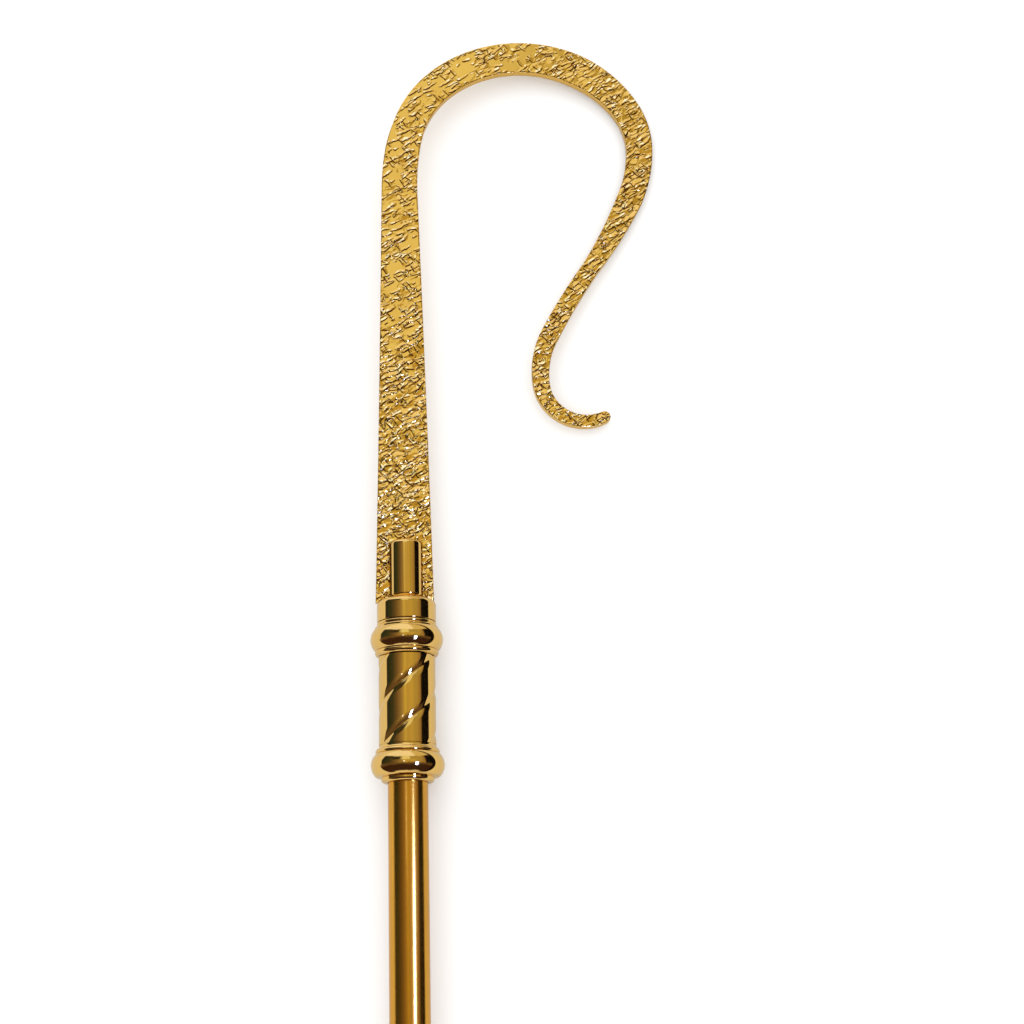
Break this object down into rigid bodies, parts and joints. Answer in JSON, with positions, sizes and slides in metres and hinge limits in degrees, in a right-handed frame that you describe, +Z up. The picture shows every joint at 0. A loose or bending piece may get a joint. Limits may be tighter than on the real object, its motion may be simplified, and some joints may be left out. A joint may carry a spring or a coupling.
{
  "type": "bishop crosier",
  "caption": "Gilt brass bishop's crosier: hammered flat crook in a slotted socket, moulded knop with a twisted sleeve, long tubular staff with a plain foot.",
  "frame": {"origin": "on the ground, under the middle of the lying crosier's box", "axes": "+Y along the staff from foot to crook, +Z up from the ground it lies on, +X to the side the crook bows to"},
  "size_m": [0.1936, 1.7998, 0.0465],
  "materials": {
    "hammered_gilt": "hammered gilding, bright, with tooled dents between smooth patches",
    "polished_gilt": "mirror-polished gilding",
    "brushed_gilt": "gilding with fine turning marks round the tube"
  },
  "bodies": {
    "root": {"crook": "hammered_gilt", "crook_socket": "polished_gilt", "upper_ring": "polished_gilt", "twisted_sleeve": "polished_gilt", "lower_ring": "polished_gilt", "staff_tube": "brushed_gilt", "foot_ferrule": "polished_gilt"}
  },
  "joints": []
}
